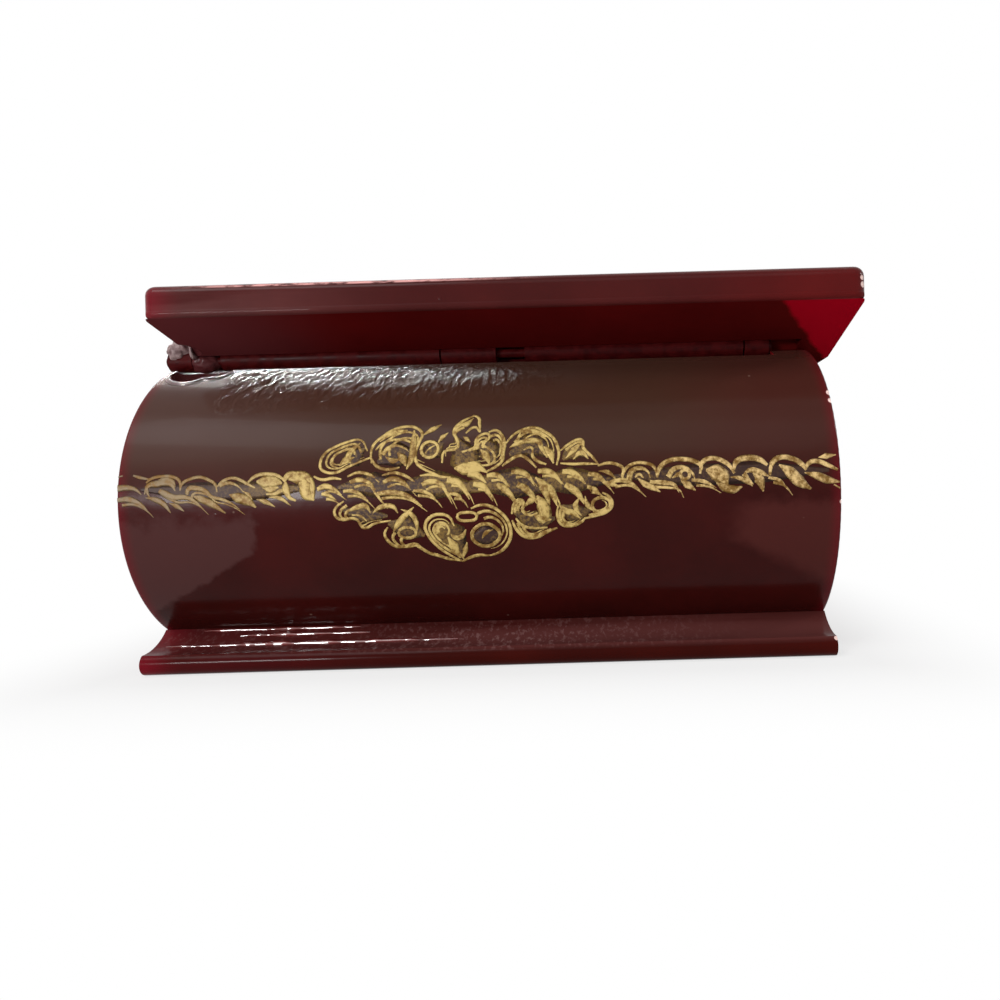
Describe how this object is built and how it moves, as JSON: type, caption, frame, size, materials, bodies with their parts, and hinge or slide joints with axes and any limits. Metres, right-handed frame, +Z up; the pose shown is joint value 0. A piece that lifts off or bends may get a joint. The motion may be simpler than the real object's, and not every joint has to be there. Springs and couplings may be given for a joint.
{
  "type": "lacquer box",
  "caption": "Small lacquered keepsake casket with bulging long sides, a coved base and an overhanging hinged lid.",
  "frame": {"origin": "middle of the body's flat underside", "axes": "+Z up, X along the box, the hinged back faces -Y; the lid is shut and sits slipped to +X on its hinge"},
  "size_m": [0.1237, 0.0928, 0.0648],
  "materials": {
    "dark_lacquer": "high gloss lacquer",
    "red_lacquer": "satin lacquer",
    "hinge_metal": "dull, tarnished"
  },
  "bodies": {
    "box": {"base_board": "dark_lacquer", "back_wall": "dark_lacquer", "front_wall": "dark_lacquer", "end_panel_left": "dark_lacquer", "end_panel_right": "dark_lacquer", "floor_panel": "red_lacquer", "body_hinge_leaf": "hinge_metal", "body_leaf_nails": "hinge_metal", "hinge_pin": "hinge_metal"},
    "lid": {"lid_board": "dark_lacquer", "lid_rail_back": "dark_lacquer", "lid_rail_front": "dark_lacquer", "lid_end_left": "dark_lacquer", "lid_end_right": "dark_lacquer", "lid_lining": "red_lacquer", "lid_hinge_leaf": "hinge_metal", "lid_leaf_nails": "hinge_metal"}
  },
  "joints": [
    {"name": "lid_hinge", "type": "hinge", "parent": "box", "child": "lid", "pos_m": [0.005, -0.0296, 0.05523], "axis": [1, 0, 0], "range_deg": [0, 50]}
  ]
}
